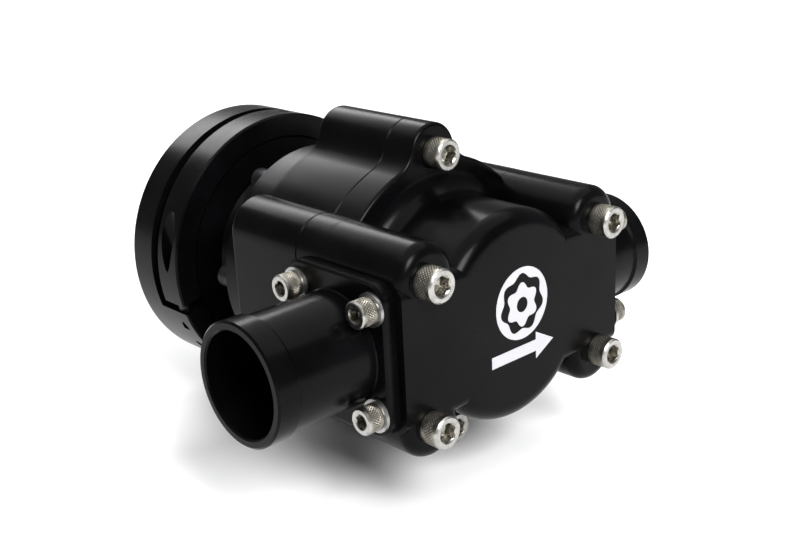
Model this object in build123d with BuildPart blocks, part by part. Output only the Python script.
from build123d import *
import math
import os

os.makedirs("parts", exist_ok=True)

# Engine-driven rotary fuel pump, millimetres.  +Z is up and +Y points to the engine.
# The drive axis is the Y axis, and y = 0 is the rear face of the mounting ring.

# ---- stations along the drive axis ----
Y_FRONT = -166.0          # front face, seat of the corner screws
Y_STEP = -126.0           # front of the bolting flange, seat of the top and bottom screws
Y_SEAM = -112.0           # joint between port housing and rotor housing
Y_BACK = -73.0            # rear of the rotor housing
Y_NECK = -52.0            # rear of the drive housing's flange
Y_RING = -33.0            # front of the mounting ring
Y_SPIGOT = -15.0          # rear of the drive housing's spigot

# ---- body outline, seen from the front ----
HALF_WIDTH = 55.0         # flat sides that carry the pipe flanges
LOBE_R = 11.0             # rounding around the top and bottom screws
WING_LOBE_R = 12.5        # rounding above and below the flat sides
WING_LOBE_X = HALF_WIDTH - WING_LOBE_R
CORNER_X = 44.0
CORNER_Z = 26.0
CENTRE_Z = 54.0
CORE_R = 52.0             # round of the bolting flange between the lobes
BOSS_R = 39.0             # round front boss
BOSS_ROUND = 6.5          # rounding of the boss's front edge
BOSS_ROOT = 7.5           # fillet at the foot of the boss
WING_ROUND = 4.5          # rounding of the wings' front edge
WING_INSET = 0.05         # machining step between the flange outline and the wings
CORNERS = [(sx * CORNER_X, sz * CORNER_Z) for sx in (-1, 1) for sz in (-1, 1)]
CENTRES = [(0, CENTRE_Z), (0, -CENTRE_Z)]
WING_LOBES = [(sx * WING_LOBE_X, sz * CORNER_Z) for sx in (-1, 1) for sz in (-1, 1)]

# ---- rotor set ----
INNER_TEETH = 6
OUTER_TEETH = INNER_TEETH + 1
ECC = 3.5                 # distance between the two rotor axes
LOBE_PITCH_R = 32.0       # circle of the outer rotor's lobe centres
LOBE_ARC_R = 9.5          # radius of each outer lobe
ROTOR_GAP = 0.15          # working clearance taken off the inner rotor
OUTER_R = 36.0
POCKET_R = 36.06
ROTOR_W = 29.9
POCKET_DEPTH = 30.0

# ---- shaft and bearings ----
SHAFT_R = 10.0
Y_SHAFT_FRONT = -154.0
Y_SHAFT_REAR = -20.5      # end of the round part, start of the hex drive
HEX_L = 12.0
BUSH_BORE_R = 10.04
BUSH_R = 12.5
HEX_AF = 12.7
BALL_PITCH_R = 16.75
BALL_R = 3.95
BALLS = 8
Y_BEARING = -30.0
BEARING_W = 14.0
BEARING_R = 23.5

# ---- neck behind the rotor housing ----
NECK_FLANGE_R = 46.0
NECK_SCREW_PCR = 40.5

# ---- ports ----
Y_PORT = -137.7
PORT_R = 17.5
PORT_END_X = 17.0
TUBE_R = 20.6
BEAD_R = 21.5
TUBE_BORE_R = 18.2
PLATE_T = 5.0
PLATE_Y = 50.0
PLATE_Z = 55.0
PORT_BOLT = 19.4
PORT_BOLT_Z = 18.8
INLET_X = 101.0
OUTLET_X = 86.0

# ---- mounting ring ----
RING_R = 56.0
CLAMP_BORE_R = 46.0
SPIGOT_R = 45.95
LIP_R = 34.0
SLIT_ANGLE = 196.0
SLOT_END_ANGLE = 24.0
SLOT_W = 5.0
SLIT_W = 4.0
Y_SLOT = -17.0
Y_SET_SCREW = -25.0
Y_CLAMP = -26.0
CLAMP_TANGENT = 187.0
CLAMP_LINE_R = 51.2
SET_SCREW_ANGLES = (80.0, 219.0, 330.0)
RING_HOLE_PCR = 39.5


def station(y):
    """Plane across the drive axis: local x is X, local y is Z, extrude goes forwards."""
    return Plane(origin=(0, y, 0), x_dir=(1, 0, 0), z_dir=(0, -1, 0))


def seat_front(x, y, z):
    """Seat of a screw whose head faces the front."""
    return Plane(origin=(x, y, z), x_dir=(1, 0, 0), z_dir=(0, -1, 0)).location


def seat_side(side, y, z):
    """Seat of a screw whose head faces sideways."""
    x = side * (HALF_WIDTH + PLATE_T)
    return Plane(origin=(x, y, z), x_dir=(0, 1, 0), z_dir=(side, 0, 0)).location


def save(piece, name):
    piece.part.label = name
    export_step(piece.part, "parts/" + name + ".step")
    print(name, "solids", len(piece.part.solids()), "volume", round(piece.part.volume, 1))


def cap_screw(head_r, head_h, shank_r, length, socket_af, lift=0.0):
    """Socket-head cap screw along +Z, seated at z = 0, raised by any washer."""
    with BuildPart() as screw:
        with BuildSketch(Plane.XY.offset(lift)):
            Circle(head_r)
        extrude(amount=head_h)
        chamfer(screw.faces().sort_by(Axis.Z)[-1].edges(), 0.09 * head_r)
        with BuildSketch(Plane.XY.offset(lift + head_h)):
            RegularPolygon(socket_af / 2, 6, major_radius=False)
        extrude(amount=-0.55 * head_h, mode=Mode.SUBTRACT)
        with BuildSketch(Plane.XY.offset(lift)):
            Circle(shank_r)
        extrude(amount=-length)
        chamfer(screw.faces().sort_by(Axis.Z)[0].edges(), 0.2 * shank_r)
    return screw.part


def o_ring(major_r, minor_r):
    """Round-section seal ring about the Z axis."""
    with BuildPart() as ring:
        Torus(major_r, minor_r)
    return ring.part


def tube_y(y0, y1, outer_r, inner_r):
    """Plain ring along the drive axis between two stations."""
    with BuildPart() as ring:
        with BuildSketch(station(y0)):
            Circle(outer_r)
            Circle(inner_r, mode=Mode.SUBTRACT)
        extrude(amount=y0 - y1)
    return ring.part


def polar(radius, degrees):
    return (radius * math.cos(math.radians(degrees)), radius * math.sin(math.radians(degrees)))


def flange_outline():
    """Outline of the bolting flange: round core, flat sides and six screw lobes."""
    with BuildSketch() as outline:
        Circle(CORE_R)
        Rectangle(2 * HALF_WIDTH, 2 * CORNER_Z)
        with Locations(*WING_LOBES):
            Circle(WING_LOBE_R)
        with Locations(*CENTRES):
            Circle(LOBE_R)
        notches = outline.vertices().filter_by(
            lambda v: abs(math.hypot(v.X, v.Y) - CORE_R) < 0.01)
        fillet([v for v in notches if abs(v.X) < 25], 12.0)
        fillet([v for v in notches if abs(v.X) > 25], 15.0)
    return outline.sketch


def front_wings():
    """Block in front of the flange: rounded first, then its flat sides are cut square."""
    y_rear = Y_SEAM - 1
    with BuildPart() as wings:
        with BuildSketch(station(y_rear)):
            Rectangle(2 * HALF_WIDTH + 14, 2 * CORNER_Z)
            with Locations(*WING_LOBES):
                Circle(WING_LOBE_R - WING_INSET)
        extrude(amount=y_rear - Y_FRONT)
        fillet(wings.faces().sort_by(Axis.Y)[0].edges(), WING_ROUND)
        with BuildSketch(station(Y_SEAM)):
            with Locations((-HALF_WIDTH - 10, 0), (HALF_WIDTH + 10, 0)):
                Rectangle(20, 120)
        extrude(amount=Y_SEAM - Y_FRONT + 1, mode=Mode.SUBTRACT)
    return wings.part


# ---------------------------------------------------------------- port housing
with BuildPart() as port_housing:
    with BuildSketch(station(Y_SEAM)):
        add(flange_outline())
    extrude(amount=Y_SEAM - Y_STEP)
    step_edges = port_housing.faces().sort_by(Axis.Y)[0].edges()
    fillet(step_edges, 1.5)
    chamfer(port_housing.faces().sort_by(Axis.Y)[-1].outer_wire().edges(), 0.4)
    add(front_wings())
    with BuildSketch(Plane.XY):
        with BuildLine():
            face_r = BOSS_R - BOSS_ROUND
            foot_r = BOSS_R + BOSS_ROOT
            Polyline((0, Y_SEAM - 1), (0, Y_FRONT), (face_r, Y_FRONT))
            RadiusArc((face_r, Y_FRONT), (BOSS_R, Y_FRONT + BOSS_ROUND), -BOSS_ROUND)
            Line((BOSS_R, Y_FRONT + BOSS_ROUND), (BOSS_R, Y_STEP - BOSS_ROOT))
            RadiusArc((BOSS_R, Y_STEP - BOSS_ROOT), (foot_r, Y_STEP), BOSS_ROOT)
            Polyline((foot_r, Y_STEP), (foot_r, Y_SEAM - 1), (0, Y_SEAM - 1))
        make_face()
    revolve(axis=Axis.Y)
    # one gallery from each side, stopping at the wall that holds the shaft bush
    for side in (-1, 1):
        gallery = Plane(origin=(side * PORT_END_X, Y_PORT, 0), x_dir=(0, 1, 0), z_dir=(side, 0, 0))
        with BuildSketch(gallery):
            Circle(PORT_R)
        extrude(amount=HALF_WIDTH + 5 - PORT_END_X, mode=Mode.SUBTRACT)
        # kidney window that opens the gallery to the rotor chambers
        with BuildSketch(station(Y_SEAM)):
            with BuildLine():
                facing = 90 - side * 90
                outer = [polar(29.0, facing + turn) for turn in (-62, 0, 62)]
                inner = [polar(20.5, facing + turn) for turn in (62, 0, -62)]
                ThreePointArc(*outer)
                Line(outer[2], inner[0])
                ThreePointArc(*inner)
                Line(inner[2], outer[0])
            make_face()
        extrude(amount=Y_SEAM - Y_PORT, mode=Mode.SUBTRACT)
    # bush pocket, shaft end space and seal groove
    with BuildSketch(station(Y_SEAM)):
        Circle(BUSH_R)
    extrude(amount=40, mode=Mode.SUBTRACT)
    with BuildSketch(station(Y_SEAM - 40)):
        Circle(SHAFT_R)
    extrude(amount=3, mode=Mode.SUBTRACT)
    with BuildSketch(station(Y_SEAM)):
        Circle(45.4)
        Circle(42.4, mode=Mode.SUBTRACT)
    extrude(amount=1.3, mode=Mode.SUBTRACT)
    # body screw holes
    with BuildSketch(station(Y_SEAM)):
        with Locations(*(CORNERS + CENTRES)):
            Circle(4.15)
    extrude(amount=60, mode=Mode.SUBTRACT)
    # dowel holes
    with BuildSketch(station(Y_SEAM)):
        with Locations(polar(48.7, 60), polar(48.7, 240)):
            Circle(2.0)
    extrude(amount=8, mode=Mode.SUBTRACT)
    # threaded holes for the pipe flanges
    for side in (-1, 1):
        face = Plane(origin=(side * HALF_WIDTH, Y_PORT, 0), x_dir=(0, 1, 0), z_dir=(side, 0, 0))
        with BuildSketch(face):
            with GridLocations(2 * PORT_BOLT, 2 * PORT_BOLT_Z, 2, 2):
                Circle(3.2)
        extrude(amount=-10, mode=Mode.SUBTRACT)
save(port_housing, "port_housing")

# ---------------------------------------------------------------- rotor housing
with BuildPart() as rotor_housing:
    with BuildSketch(station(Y_BACK)):
        add(flange_outline())
    extrude(amount=Y_BACK - Y_SEAM)
    chamfer(rotor_housing.faces().sort_by(Axis.Y)[0].edges(), 0.4)
    fillet(rotor_housing.faces().sort_by(Axis.Y)[-1].edges(), 1.5)
    with BuildSketch(station(Y_SEAM)):
        with Locations((0, ECC)):
            Circle(POCKET_R)
    extrude(amount=-POCKET_DEPTH, mode=Mode.SUBTRACT)
    with BuildSketch(station(Y_BACK)):
        Circle(BUSH_R)
    extrude(amount=Y_BACK - Y_SEAM - POCKET_DEPTH, mode=Mode.SUBTRACT)
    with BuildSketch(station(Y_SEAM)):
        Circle(45.4)
        Circle(42.4, mode=Mode.SUBTRACT)
    extrude(amount=-1.3, mode=Mode.SUBTRACT)
    with BuildSketch(station(Y_SEAM)):
        with Locations(*(CORNERS + CENTRES)):
            Circle(4.0)
    extrude(amount=-36, mode=Mode.SUBTRACT)
    with BuildSketch(station(Y_SEAM)):
        with Locations(polar(48.7, 60), polar(48.7, 240)):
            Circle(2.0)
    extrude(amount=-8, mode=Mode.SUBTRACT)
    with BuildSketch(station(Y_BACK)):
        with PolarLocations(NECK_SCREW_PCR, 6):
            Circle(3.2)
    extrude(amount=8, mode=Mode.SUBTRACT)
save(rotor_housing, "rotor_housing")

# ---------------------------------------------------------------- drive housing
with BuildPart() as drive_housing:
    with BuildSketch(Plane.XY):
        with BuildLine():
            Polyline(
                (17.5, Y_BACK),
                (NECK_FLANGE_R - 0.8, Y_BACK),
                (NECK_FLANGE_R, Y_BACK + 0.8),
                (NECK_FLANGE_R, Y_NECK - 1.2),
                (NECK_FLANGE_R - 1.2, Y_NECK),
                (34.0, Y_NECK),
                (30.0, Y_NECK + 4),
                (30.0, Y_RING - 4),
                (34.0, Y_RING),
                (SPIGOT_R, Y_RING),
                (SPIGOT_R, Y_SPIGOT - 1),
                (SPIGOT_R - 1, Y_SPIGOT),
                (BEARING_R, Y_SPIGOT),
                (BEARING_R, Y_BEARING - BEARING_W / 2),
                (13.0, Y_BEARING - BEARING_W / 2),
                (13.0, -50.0),
                (17.5, -50.0),
                (17.5, Y_BACK),
            )
        make_face()
    revolve(axis=Axis.Y)
    # groove for the bearing's retaining ring
    with BuildSketch(station(Y_BEARING + BEARING_W / 2)):
        Circle(24.7)
        Circle(20.0, mode=Mode.SUBTRACT)
    extrude(amount=-1.6, mode=Mode.SUBTRACT)
    # face groove for the neck seal
    with BuildSketch(station(Y_BACK)):
        Circle(31.5)
        Circle(28.5, mode=Mode.SUBTRACT)
    extrude(amount=-2.5, mode=Mode.SUBTRACT)
    with BuildSketch(station(Y_BACK)):
        with PolarLocations(NECK_SCREW_PCR, 6):
            Circle(3.4)
    extrude(amount=Y_BACK - Y_NECK - 1, mode=Mode.SUBTRACT)
    # weep hole between the two shaft seals
    with BuildSketch(Plane.XY.offset(-NECK_FLANGE_R - 1)):
        with Locations((0, -57.0)):
            Circle(1.5)
    extrude(amount=NECK_FLANGE_R - 15, mode=Mode.SUBTRACT)
save(drive_housing, "drive_housing")

# ---------------------------------------------------------------- mounting ring
with BuildPart() as mounting_ring:
    with BuildSketch(Plane.XY):
        with BuildLine():
            Polyline(
                (CLAMP_BORE_R, Y_RING + 0.8),
                (CLAMP_BORE_R + 0.8, Y_RING),
                (RING_R - 0.7, Y_RING),
                (RING_R, Y_RING + 0.7),
                (RING_R, -1.2),
                (RING_R - 1.2, 0),
                (CLAMP_BORE_R, 0),
                (CLAMP_BORE_R, -8),
                (LIP_R, -8),
                (LIP_R, Y_SLOT + SLOT_W / 2),
                (CLAMP_BORE_R, Y_SLOT + SLOT_W / 2),
                (CLAMP_BORE_R, Y_RING + 0.8),
            )
        make_face()
    revolve(axis=Axis.Y)
    # relief slot that frees the clamping band over half a turn
    with BuildSketch(station(Y_SLOT + SLOT_W / 2)):
        with BuildLine():
            start = polar(RING_R + 3, SLOT_END_ANGLE)
            middle = polar(RING_R + 3, (SLOT_END_ANGLE + SLIT_ANGLE) / 2)
            end = polar(RING_R + 3, SLIT_ANGLE)
            inner_end = polar(CLAMP_BORE_R - 1, SLIT_ANGLE)
            inner_middle = polar(CLAMP_BORE_R - 1, (SLOT_END_ANGLE + SLIT_ANGLE) / 2)
            inner_start = polar(CLAMP_BORE_R - 1, SLOT_END_ANGLE)
            ThreePointArc(start, middle, end)
            Line(end, inner_end)
            ThreePointArc(inner_end, inner_middle, inner_start)
            Line(inner_start, start)
        make_face()
    extrude(amount=SLOT_W, mode=Mode.SUBTRACT)
    # axial slit from the slot to the front face
    with BuildSketch(station(Y_SLOT + SLOT_W / 2)):
        with Locations(Location(polar(RING_R - 4, SLIT_ANGLE), SLIT_ANGLE)):
            Rectangle(20, SLIT_W)
    extrude(amount=30, mode=Mode.SUBTRACT)
    # tangential hole for the clamp screw: counterbore, clearance and thread
    base = polar(CLAMP_LINE_R, CLAMP_TANGENT)
    tangent = (math.sin(math.radians(CLAMP_TANGENT)), 0, -math.cos(math.radians(CLAMP_TANGENT)))
    clamp_axis = Plane(origin=(base[0], Y_CLAMP, base[1]), x_dir=(0, 1, 0), z_dir=tangent)
    with BuildSketch(clamp_axis.offset(2.0)):
        Circle(4.3)
    extrude(amount=40, mode=Mode.SUBTRACT)
    with BuildSketch(clamp_axis.offset(2.0)):
        Circle(2.5)
    extrude(amount=-22, mode=Mode.SUBTRACT)
    # radial set-screw holes in the clamping band
    for angle in SET_SCREW_ANGLES:
        outward = (math.cos(math.radians(angle)), 0, math.sin(math.radians(angle)))
        with BuildSketch(Plane(origin=(0, Y_SET_SCREW, 0), x_dir=(0, 1, 0), z_dir=outward).offset(44)):
            Circle(2.4)
        extrude(amount=15, mode=Mode.SUBTRACT)
    # bolt holes in the lip, reached from the front before the pump goes in
    with BuildSketch(station(-8)):
        with PolarLocations(RING_HOLE_PCR, 6, start_angle=30):
            Circle(3.3)
    extrude(amount=10, mode=Mode.SUBTRACT)
save(mounting_ring, "mounting_ring")

with BuildPart() as ring_clamp_screw:
    with Locations(clamp_axis.offset(2.0).location):
        add(cap_screw(3.96, 4.83, 2.45, 18.0, 3.97))
save(ring_clamp_screw, "ring_clamp_screw")

with BuildPart() as ring_set_screws:
    for angle in SET_SCREW_ANGLES:
        outward = (math.cos(math.radians(angle)), 0, math.sin(math.radians(angle)))
        place = Plane(origin=(0, Y_SET_SCREW, 0), x_dir=(0, 1, 0), z_dir=outward)
        with BuildSketch(place.offset(46.2)):
            Circle(2.35)
        extrude(amount=6.5)
        with BuildSketch(place.offset(52.7)):
            RegularPolygon(1.2, 6, major_radius=False)
        extrude(amount=-3, mode=Mode.SUBTRACT)
save(ring_set_screws, "ring_set_screws")

# ---------------------------------------------------------------- rotors
def inner_profile():
    """Points of the inner rotor: parallel curve of the path of the outer lobe centres."""
    points = []
    steps = 32 * INNER_TEETH
    for i in range(steps):
        phi = 2 * math.pi * OUTER_TEETH * i / steps
        psi = phi / OUTER_TEETH
        x = ECC * math.cos(phi) + LOBE_PITCH_R * math.cos(psi)
        y = ECC * math.sin(phi) + LOBE_PITCH_R * math.sin(psi)
        dx = -ECC * math.sin(phi) - LOBE_PITCH_R / OUTER_TEETH * math.sin(psi)
        dy = ECC * math.cos(phi) + LOBE_PITCH_R / OUTER_TEETH * math.cos(psi)
        reach = (LOBE_ARC_R + ROTOR_GAP) / math.hypot(dx, dy)
        points.append((-(y + dx * reach), x - dy * reach))
    return points


with BuildPart() as inner_rotor:
    with BuildSketch(station(Y_SEAM + 0.05)):
        with BuildLine():
            Spline(*inner_profile(), periodic=True)
        make_face()
        Circle(SHAFT_R + 0.01, mode=Mode.SUBTRACT)
        with Locations((SHAFT_R, 0)):
            Rectangle(5.2, 5.02, mode=Mode.SUBTRACT)
    extrude(amount=-ROTOR_W)
save(inner_rotor, "inner_rotor")

with BuildPart() as outer_rotor:
    with BuildSketch(station(Y_SEAM + 0.05)):
        with Locations((0, ECC)):
            Circle(OUTER_R)
    extrude(amount=-ROTOR_W)
    chamfer(outer_rotor.edges().filter_by(GeomType.CIRCLE), 0.5)
    with BuildSketch(station(Y_SEAM + 0.05)):
        with Locations((0, ECC)):
            Circle(LOBE_PITCH_R - LOBE_ARC_R + 2 * ECC + ROTOR_GAP)
            with PolarLocations(LOBE_PITCH_R, OUTER_TEETH, start_angle=90):
                Circle(LOBE_ARC_R, mode=Mode.SUBTRACT)
    extrude(amount=-ROTOR_W, mode=Mode.SUBTRACT)
save(outer_rotor, "outer_rotor")

# ---------------------------------------------------------------- shaft group
with BuildPart() as drive_shaft:
    with BuildSketch(station(Y_SHAFT_REAR)):
        Circle(SHAFT_R)
    extrude(amount=Y_SHAFT_REAR - Y_SHAFT_FRONT)
    chamfer(drive_shaft.faces().sort_by(Axis.Y)[0].edges(), 1.0)
    chamfer(drive_shaft.faces().sort_by(Axis.Y)[-1].edges(), 0.8)
    with BuildSketch(station(Y_SHAFT_REAR)):
        RegularPolygon(HEX_AF / 2, 6, major_radius=False)
    extrude(amount=-HEX_L)
    chamfer(drive_shaft.faces().sort_by(Axis.Y)[-1].edges(), 0.8)
    # keyway under the inner rotor
    with BuildSketch(Plane.XY.offset(-2.5)):
        with Locations((SHAFT_R, Y_SEAM + 15)):
            Rectangle(5.0, 22.02)
    extrude(amount=5.0, mode=Mode.SUBTRACT)
    # groove for the shaft's retaining ring
    with BuildSketch(station(Y_BEARING + BEARING_W / 2 + 1.4)):
        Circle(SHAFT_R + 1)
        Circle(SHAFT_R - 0.5, mode=Mode.SUBTRACT)
    extrude(amount=1.3, mode=Mode.SUBTRACT)
save(drive_shaft, "drive_shaft")

with BuildPart() as rotor_key:
    with BuildSketch(Plane.XY.offset(-2.49)):
        with Locations((SHAFT_R, Y_SEAM + 15)):
            Rectangle(4.98, 22.0)
    extrude(amount=4.98)
save(rotor_key, "rotor_key")

with BuildPart() as shaft_retaining_ring:
    with BuildSketch(station(Y_BEARING + BEARING_W / 2 + 1.35)):
        Circle(12.6)
        Circle(SHAFT_R - 0.45, mode=Mode.SUBTRACT)
        with Locations((0, 11)):
            Rectangle(5, 6, mode=Mode.SUBTRACT)
    extrude(amount=1.2)
save(shaft_retaining_ring, "shaft_retaining_ring")

# ---------------------------------------------------------------- plain bushes
with BuildPart() as front_bush:
    add(tube_y(Y_SEAM - 2, Y_SEAM - 40, BUSH_R, BUSH_BORE_R))
save(front_bush, "front_bush")

with BuildPart() as rear_bush:
    add(tube_y(Y_BACK - 0.5, Y_SEAM + POCKET_DEPTH + 0.5, BUSH_R, BUSH_BORE_R))
save(rear_bush, "rear_bush")

# ---------------------------------------------------------------- ball bearing
with BuildPart() as bearing_outer_race:
    add(tube_y(Y_BEARING + 7, Y_BEARING - 7, BEARING_R, 19.4))
    fillet(bearing_outer_race.edges().filter_by(GeomType.CIRCLE).sort_by(SortBy.RADIUS)[-2:], 0.8)
    with Locations(Location((0, Y_BEARING, 0), (90, 0, 0))):
        Torus(BALL_PITCH_R, BALL_R + 0.1, mode=Mode.SUBTRACT)
save(bearing_outer_race, "bearing_outer_race")

with BuildPart() as bearing_inner_race:
    add(tube_y(Y_BEARING + 7, Y_BEARING - 7, 14.1, SHAFT_R))
    fillet(bearing_inner_race.edges().filter_by(GeomType.CIRCLE).sort_by(SortBy.RADIUS)[:2], 0.5)
    with Locations(Location((0, Y_BEARING, 0), (90, 0, 0))):
        Torus(BALL_PITCH_R, BALL_R + 0.1, mode=Mode.SUBTRACT)
save(bearing_inner_race, "bearing_inner_race")

ball_spots = [
    (BALL_PITCH_R * math.cos(2 * math.pi * i / BALLS), Y_BEARING,
     BALL_PITCH_R * math.sin(2 * math.pi * i / BALLS))
    for i in range(BALLS)
]
with BuildPart() as bearing_balls:
    with Locations(*ball_spots):
        Sphere(BALL_R)
save(bearing_balls, "bearing_balls")

with BuildPart() as bearing_cage:
    add(tube_y(Y_BEARING + 5.2, Y_BEARING - 5.2, 17.7, 15.8))
    for i in range(BALLS):
        across = (math.cos(2 * math.pi * i / BALLS), 0, math.sin(2 * math.pi * i / BALLS))
        with BuildSketch(Plane(origin=(0, Y_BEARING, 0), x_dir=(0, 1, 0), z_dir=across).offset(14)):
            Circle(BALL_R + 0.1)
        extrude(amount=6, mode=Mode.SUBTRACT)
save(bearing_cage, "bearing_cage")

with BuildPart() as bearing_retaining_ring:
    with BuildSketch(station(Y_BEARING + BEARING_W / 2 + 1.5)):
        Circle(24.6)
        Circle(21.4, mode=Mode.SUBTRACT)
        with Locations((0, -23)):
            Rectangle(9, 8, mode=Mode.SUBTRACT)
    extrude(amount=1.4)
save(bearing_retaining_ring, "bearing_retaining_ring")

# ---------------------------------------------------------------- shaft seals
def lip_seal(y0):
    """Shaft seal: metal case with a lip that runs just off the shaft."""
    with BuildPart() as seal:
        with BuildSketch(Plane.XY):
            with BuildLine():
                Polyline(
                    (17.5, y0), (17.5, y0 + 7), (15.2, y0 + 7), (15.2, y0 + 2.2),
                    (12.6, y0 + 2.2), (11.6, y0 + 5.6), (10.03, y0 + 4.4),
                    (11.0, y0), (17.5, y0),
                )
            make_face()
        revolve(axis=Axis.Y)
    return seal.part


with BuildPart() as front_seal:
    add(lip_seal(-69.0))
save(front_seal, "front_seal")

with BuildPart() as seal_spacer:
    add(tube_y(-57.0, -62.0, 17.4, 12.5))
    with BuildSketch(Plane.XY.offset(-18)):
        with Locations((0, -59.5)):
            Circle(1.5)
    extrude(amount=8, mode=Mode.SUBTRACT)
save(seal_spacer, "seal_spacer")

with BuildPart() as rear_seal:
    add(lip_seal(-57.0))
save(rear_seal, "rear_seal")

# ---------------------------------------------------------------- static seals
with BuildPart() as housing_o_ring:
    with Locations(Location((0, Y_SEAM, 0), (90, 0, 0))):
        add(o_ring(43.9, 1.29))
save(housing_o_ring, "housing_o_ring")

with BuildPart() as neck_o_ring:
    with Locations(Location((0, Y_BACK + 1.25, 0), (90, 0, 0))):
        add(o_ring(30.0, 1.24))
save(neck_o_ring, "neck_o_ring")

# ---------------------------------------------------------------- pins and screws
with BuildPart() as dowel_pins:
    with BuildSketch(station(Y_SEAM + 7.5)):
        with Locations(polar(48.7, 60), polar(48.7, 240)):
            Circle(1.99)
    extrude(amount=15)
save(dowel_pins, "dowel_pins")

with BuildPart() as corner_screws:
    with Locations(*[seat_front(x, Y_FRONT, z) for x, z in CORNERS]):
        add(cap_screw(5.95, 7.94, 3.95, 88.0, 6.35))
save(corner_screws, "corner_screws")

with BuildPart() as centre_screws:
    with Locations(*[seat_front(x, Y_STEP, z) for x, z in CENTRES]):
        add(cap_screw(5.95, 7.94, 3.95, 48.0, 6.35))
save(centre_screws, "centre_screws")

neck_places = [
    Plane(origin=(x, Y_NECK, z), x_dir=(1, 0, 0), z_dir=(0, 1, 0)).location
    for x, z in (polar(NECK_SCREW_PCR, 60 * i) for i in range(6))
]
with BuildPart() as neck_screws:
    with Locations(*neck_places):
        add(cap_screw(4.76, 6.35, 3.15, Y_NECK - Y_BACK + 7.0, 4.76))
save(neck_screws, "neck_screws")


# ---------------------------------------------------------------- pipe adapters
def pipe_adapter(side, reach):
    """Four-bolt flange with a beaded hose tube, standing out to the side."""
    face = Plane(origin=(side * HALF_WIDTH, Y_PORT, 0), x_dir=(0, 1, 0), z_dir=(side, 0, 0))
    length = reach - HALF_WIDTH
    with BuildPart() as adapter:
        with BuildSketch(face):
            RectangleRounded(PLATE_Y, PLATE_Z, 7)
        extrude(amount=PLATE_T)
        chamfer(adapter.faces().sort_by(Axis.X)[-1 if side > 0 else 0].edges(), 0.8)
        with BuildSketch(Plane.XY):
            with BuildLine():
                def at(along, radius):
                    return (side * (HALF_WIDTH + along), Y_PORT + radius)
                Polyline(
                    at(0.5, 0), at(0.5, TUBE_R + 0.4), at(PLATE_T, TUBE_R + 0.4),
                    at(PLATE_T + 0.4, TUBE_R), at(length - 9.4, TUBE_R),
                    at(length - 8.4, BEAD_R), at(length - 0.7, BEAD_R),
                    at(length, BEAD_R - 0.7), at(length, 0), at(0.5, 0),
                )
            make_face()
        revolve(axis=Axis((0, Y_PORT, 0), (1, 0, 0)))
        with BuildSketch(face):
            Circle(TUBE_BORE_R)
        extrude(amount=length + 1, mode=Mode.SUBTRACT)
        with BuildSketch(face):
            Circle(23.1)
            Circle(20.3, mode=Mode.SUBTRACT)
        extrude(amount=2.0, mode=Mode.SUBTRACT)
        with BuildSketch(face):
            with GridLocations(2 * PORT_BOLT, 2 * PORT_BOLT_Z, 2, 2):
                Circle(3.4)
        extrude(amount=PLATE_T + 1, mode=Mode.SUBTRACT)
        rim = adapter.edges().filter_by(GeomType.CIRCLE).sort_by(Axis.X)
        mouth = [e for e in (rim[-4:] if side > 0 else rim[:4]) if abs(e.radius - TUBE_BORE_R) < 0.01]
        chamfer(mouth[-1:], 0.6)
    return adapter.part


def port_screw_seats(side):
    return [seat_side(side, Y_PORT + sy * PORT_BOLT, sz * PORT_BOLT_Z)
            for sy in (-1, 1) for sz in (-1, 1)]


def port_washers(side):
    """Flat washers under the four flange screws."""
    with BuildPart() as washers:
        for seat in port_screw_seats(side):
            with BuildSketch(Plane(seat)):
                Circle(5.9)
                Circle(3.4, mode=Mode.SUBTRACT)
            extrude(amount=1.2)
    return washers.part


for name, side, reach in (("inlet", -1, INLET_X), ("outlet", 1, OUTLET_X)):
    with BuildPart() as adapter:
        add(pipe_adapter(side, reach))
    save(adapter, name + "_adapter")
    with BuildPart() as seal:
        with Locations(Location((side * (HALF_WIDTH + 0.99), Y_PORT, 0), (0, 90, 0))):
            add(o_ring(21.7, 0.98))
    save(seal, name + "_o_ring")
    with BuildPart() as washers:
        add(port_washers(side))
    save(washers, name + "_washers")
    with BuildPart() as screws:
        with Locations(*port_screw_seats(side)):
            add(cap_screw(4.76, 6.35, 3.15, 13.5, 4.76, lift=1.2))
    save(screws, name + "_screws")
